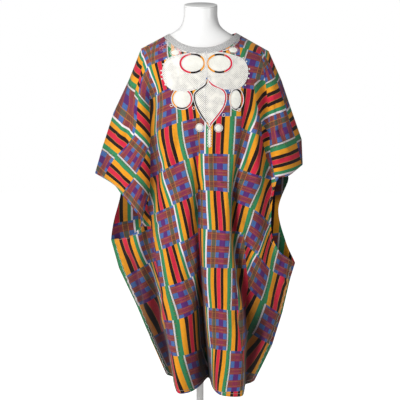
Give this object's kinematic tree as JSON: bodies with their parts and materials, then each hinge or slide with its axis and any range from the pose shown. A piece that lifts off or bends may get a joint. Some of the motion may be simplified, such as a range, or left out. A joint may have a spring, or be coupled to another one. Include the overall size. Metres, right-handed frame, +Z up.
{
  "type": "kaftan on a dress form",
  "caption": "Wide printed cotton kaftan with sleeves cut in one and an embroidered neck, worn by a limbless white dress form on a pole and a round foot.",
  "frame": {"origin": "middle of the foot's underside, on the floor", "axes": "+Z up along the pole, the front of the kaftan faces -Y, +X to the right as seen from the front"},
  "size_m": [0.694, 0.3519, 1.5229],
  "materials": {
    "printed_cotton": "matt",
    "silver_thread": "satin",
    "white_gloss": "gloss",
    "white_metal": "satin"
  },
  "bodies": {
    "root": {"front_panel": "printed_cotton", "back_panel": "printed_cotton", "neck_band_front": "silver_thread", "neck_band_back": "silver_thread", "embroidery_lobe_left": "silver_thread", "embroidery_lobe_right": "silver_thread", "embroidery_oval_left": "silver_thread", "embroidery_oval_right": "silver_thread", "embroidery_small_oval_left": "silver_thread", "embroidery_small_oval_right": "silver_thread", "embroidery_disc_left": "silver_thread", "embroidery_disc_right": "silver_thread", "embroidery_ball_left": "silver_thread", "embroidery_ball_right": "silver_thread", "embroidery_drop": "silver_thread", "embroidery_stem": "silver_thread", "form_torso": "white_gloss", "form_neck_cap": "white_gloss", "stand_foot": "white_metal", "stand_pole": "white_metal", "stand_flange": "white_metal"}
  },
  "joints": []
}
